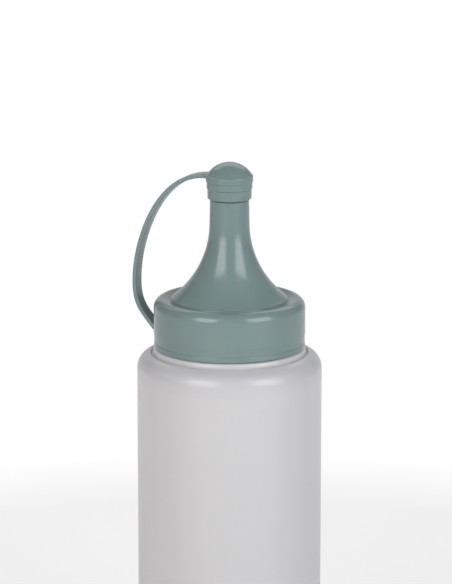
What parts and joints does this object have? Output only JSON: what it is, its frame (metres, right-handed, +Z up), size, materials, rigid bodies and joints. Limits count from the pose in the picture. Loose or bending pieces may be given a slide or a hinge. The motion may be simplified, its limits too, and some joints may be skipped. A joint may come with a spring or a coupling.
{
  "type": "oil bottle",
  "caption": "Squeeze oil bottle with a round translucent body, a screw-on cone nozzle cap and a tethered push-on tip cap.",
  "frame": {"origin": "centre of the round base, on the plane that the bottle stands on; the strap puts the box's middle 0.9 mm to the -X side of it", "axes": "+Z up along the bottle's axis, -Y towards the viewer, the strap on the -X side turned 22 degrees towards +Y"},
  "size_m": [0.068, 0.0662, 0.1927],
  "materials": {
    "bottle_plastic": "translucent milky, soft gloss",
    "cap_plastic": "moulded, soft gloss",
    "seal": "moulded, matt"
  },
  "bodies": {
    "bottle": {"bottle": "bottle_plastic"},
    "seal": {"seal_ring": "seal"},
    "nozzle_cap": {"nozzle_cap": "cap_plastic", "strap": "cap_plastic"},
    "tip_cap": {"tip_cap": "cap_plastic"}
  },
  "joints": [
    {"name": "cap_lift", "type": "slide", "parent": "bottle", "child": "seal", "axis": [0, 0, 1], "range_m": [0, 0.014]},
    {"name": "cap_turn", "type": "hinge", "parent": "seal", "child": "nozzle_cap", "pos_m": [0, 0, 0.13], "axis": [0, 0, 1], "range_deg": [0, 1260]},
    {"name": "tip_pull", "type": "slide", "parent": "nozzle_cap", "child": "tip_cap", "axis": [0, 0, 1], "range_m": [0, 0.012], "deforming": ["strap"]}
  ],
  "couplings": [
    {"joint": "cap_lift", "follows": "cap_turn", "m_per_rad": 0.00063662}
  ]
}
